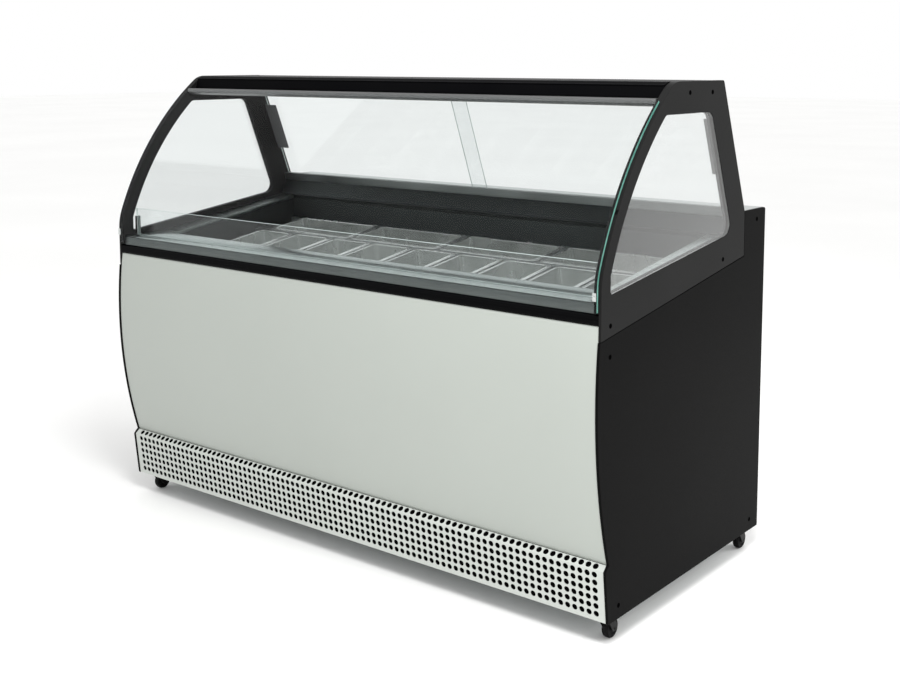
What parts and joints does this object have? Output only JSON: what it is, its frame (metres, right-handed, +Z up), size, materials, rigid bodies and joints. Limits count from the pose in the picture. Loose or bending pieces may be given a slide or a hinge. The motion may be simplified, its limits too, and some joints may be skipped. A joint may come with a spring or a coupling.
{
  "type": "ice cream scooping freezer",
  "caption": "Chest freezer for scooping ice cream, with lift-out pans under a curved tilting front glass, sliding rear doors, kick grille and castors.",
  "frame": {"origin": "on the floor, under the middle of the cabinet: the bottom centre of its bounding box", "axes": "+X along the cabinet to the right as a customer faces it, +Y from the customer to the server, +Z up"},
  "size_m": [1.745, 0.865, 1.322],
  "materials": {
    "panel_paint": "satin powder-coated sheet steel, light grey",
    "side_paint": "satin black powder-coated sheet steel",
    "frame_paint": "satin dark grey powder coat",
    "gloss_black": "gloss black extrusion",
    "clear_glass": "clear tempered glass with polished edges",
    "stainless": "brushed stainless sheet",
    "pan_steel": "pressed stainless, satin",
    "well_steel": "shaded stainless liner",
    "lamp_housing": "satin grey anodised extrusion",
    "track": "satin anodised extrusion",
    "grip": "dark grey moulded plastic",
    "tank_shell": "foam-filled shell",
    "galvanised": "galvanised sheet",
    "machine_black": "black enamelled compressor shell",
    "fins": "finned aluminium",
    "black_plastic": "black moulded plastic",
    "wheel": "black wheel tread",
    "fork": "black plated pressed steel"
  },
  "bodies": {
    "cabinet": {"base_tray": "galvanised", "cable_gland": "black_plastic", "canopy": "gloss_black", "compressor": "machine_black", "condenser": "fins", "control_panel": "black_plastic", "deck_fascia": "frame_paint", "deck_surround": "stainless", "deflector_glass": "clear_glass", "end_frame_left": "frame_paint", "end_frame_right": "frame_paint", "evaporator_plate": "fins", "front_panel": "panel_paint", "front_rail": "gloss_black", "insulated_tank": "tank_shell", "kick_grille": "panel_paint", "lamp_housing": "lamp_housing", "lower_door_track": "track", "pan_rail_front": "stainless", "pan_rail_middle": "stainless", "pan_rail_rear": "stainless", "rear_panel": "side_paint", "rear_shelf": "stainless", "rear_splash_plate": "well_steel", "side_glass_left": "clear_glass", "side_glass_right": "clear_glass", "side_panel_left": "side_paint", "side_panel_right": "side_paint", "tank_liner": "well_steel", "upper_door_track": "track"},
    "pan_front_1": {"pan_front_1": "pan_steel"},
    "pan_front_2": {"pan_front_2": "pan_steel"},
    "pan_front_3": {"pan_front_3": "pan_steel"},
    "pan_front_4": {"pan_front_4": "pan_steel"},
    "pan_front_5": {"pan_front_5": "pan_steel"},
    "pan_front_6": {"pan_front_6": "pan_steel"},
    "pan_front_7": {"pan_front_7": "pan_steel"},
    "pan_front_8": {"pan_front_8": "pan_steel"},
    "pan_front_9": {"pan_front_9": "pan_steel"},
    "pan_rear_1": {"pan_rear_1": "pan_steel"},
    "pan_rear_2": {"pan_rear_2": "pan_steel"},
    "pan_rear_3": {"pan_rear_3": "pan_steel"},
    "pan_rear_4": {"pan_rear_4": "pan_steel"},
    "front_glass": {"front_glass": "clear_glass", "glass_clip_left": "stainless", "glass_clip_right": "stainless"},
    "door_left": {"sliding_door_left": "clear_glass", "door_grip_left": "grip"},
    "door_right": {"sliding_door_right": "clear_glass", "door_grip_right": "grip"},
    "lamp_switch": {"lamp_switch": "black_plastic"},
    "condenser_fan": {"condenser_fan": "black_plastic"},
    "castor_fork_front_left": {"castor_fork_front_left": "fork"},
    "castor_wheel_front_left": {"castor_wheel_front_left": "wheel"},
    "castor_fork_front_right": {"castor_fork_front_right": "fork"},
    "castor_wheel_front_right": {"castor_wheel_front_right": "wheel"},
    "castor_fork_rear_left": {"castor_fork_rear_left": "fork"},
    "castor_wheel_rear_left": {"castor_wheel_rear_left": "wheel"},
    "castor_fork_rear_right": {"castor_fork_rear_right": "fork"},
    "castor_wheel_rear_right": {"castor_wheel_rear_right": "wheel"}
  },
  "joints": [
    {"name": "pan_front_1_lift", "type": "slide", "parent": "cabinet", "child": "pan_front_1", "axis": [0, -0.0436, 0.999], "range_m": [0, 0.25]},
    {"name": "pan_front_2_lift", "type": "slide", "parent": "cabinet", "child": "pan_front_2", "axis": [0, -0.0436, 0.999], "range_m": [0, 0.25]},
    {"name": "pan_front_3_lift", "type": "slide", "parent": "cabinet", "child": "pan_front_3", "axis": [0, -0.0436, 0.999], "range_m": [0, 0.25]},
    {"name": "pan_front_4_lift", "type": "slide", "parent": "cabinet", "child": "pan_front_4", "axis": [0, -0.0436, 0.999], "range_m": [0, 0.25]},
    {"name": "pan_front_5_lift", "type": "slide", "parent": "cabinet", "child": "pan_front_5", "axis": [0, -0.0436, 0.999], "range_m": [0, 0.25]},
    {"name": "pan_front_6_lift", "type": "slide", "parent": "cabinet", "child": "pan_front_6", "axis": [0, -0.0436, 0.999], "range_m": [0, 0.25]},
    {"name": "pan_front_7_lift", "type": "slide", "parent": "cabinet", "child": "pan_front_7", "axis": [0, -0.0436, 0.999], "range_m": [0, 0.25]},
    {"name": "pan_front_8_lift", "type": "slide", "parent": "cabinet", "child": "pan_front_8", "axis": [0, -0.0436, 0.999], "range_m": [0, 0.25]},
    {"name": "pan_front_9_lift", "type": "slide", "parent": "cabinet", "child": "pan_front_9", "axis": [0, -0.0436, 0.999], "range_m": [0, 0.25]},
    {"name": "pan_rear_1_lift", "type": "slide", "parent": "cabinet", "child": "pan_rear_1", "axis": [0, -0.0436, 0.999], "range_m": [0, 0.15]},
    {"name": "pan_rear_2_lift", "type": "slide", "parent": "cabinet", "child": "pan_rear_2", "axis": [0, -0.0436, 0.999], "range_m": [0, 0.15]},
    {"name": "pan_rear_3_lift", "type": "slide", "parent": "cabinet", "child": "pan_rear_3", "axis": [0, -0.0436, 0.999], "range_m": [0, 0.15]},
    {"name": "pan_rear_4_lift", "type": "slide", "parent": "cabinet", "child": "pan_rear_4", "axis": [0, -0.0436, 0.999], "range_m": [0, 0.15]},
    {"name": "front_glass_tilt", "type": "hinge", "parent": "cabinet", "child": "front_glass", "pos_m": [0, -0.423, 0.8095], "axis": [1, 0, 0], "range_deg": [0, 55]},
    {"name": "door_left_slide", "type": "slide", "parent": "cabinet", "child": "door_left", "axis": [1, 0, 0], "range_m": [0, 0.8]},
    {"name": "door_right_slide", "type": "slide", "parent": "cabinet", "child": "door_right", "axis": [-1, 0, 0], "range_m": [0, 0.8]},
    {"name": "lamp_switch_rock", "type": "hinge", "parent": "cabinet", "child": "lamp_switch", "pos_m": [0.7, 0.4273, 0.882], "axis": [1, 0, 0], "range_deg": [0, 14]},
    {"name": "condenser_fan_spin", "type": "hinge", "parent": "cabinet", "child": "condenser_fan", "pos_m": [0.12, -0.249, 0.22025], "axis": [0, -1, 0], "continuous": true},
    {"name": "castor_swivel_front_left", "type": "hinge", "parent": "cabinet", "child": "castor_fork_front_left", "pos_m": [-0.838, -0.3235, 0.0615], "axis": [0, 0, 1], "continuous": true},
    {"name": "castor_roll_front_left", "type": "hinge", "parent": "castor_fork_front_left", "child": "castor_wheel_front_left", "pos_m": [-0.838, -0.3085, 0.025], "axis": [1, 0, 0], "continuous": true},
    {"name": "castor_swivel_front_right", "type": "hinge", "parent": "cabinet", "child": "castor_fork_front_right", "pos_m": [0.838, -0.3235, 0.0615], "axis": [0, 0, 1], "continuous": true},
    {"name": "castor_roll_front_right", "type": "hinge", "parent": "castor_fork_front_right", "child": "castor_wheel_front_right", "pos_m": [0.838, -0.3085, 0.025], "axis": [1, 0, 0], "continuous": true},
    {"name": "castor_swivel_rear_left", "type": "hinge", "parent": "cabinet", "child": "castor_fork_rear_left", "pos_m": [-0.838, 0.3775, 0.0615], "axis": [0, 0, 1], "continuous": true},
    {"name": "castor_roll_rear_left", "type": "hinge", "parent": "castor_fork_rear_left", "child": "castor_wheel_rear_left", "pos_m": [-0.838, 0.3925, 0.025], "axis": [1, 0, 0], "continuous": true},
    {"name": "castor_swivel_rear_right", "type": "hinge", "parent": "cabinet", "child": "castor_fork_rear_right", "pos_m": [0.838, 0.3775, 0.0615], "axis": [0, 0, 1], "continuous": true},
    {"name": "castor_roll_rear_right", "type": "hinge", "parent": "castor_fork_rear_right", "child": "castor_wheel_rear_right", "pos_m": [0.838, 0.3925, 0.025], "axis": [1, 0, 0], "continuous": true}
  ]
}
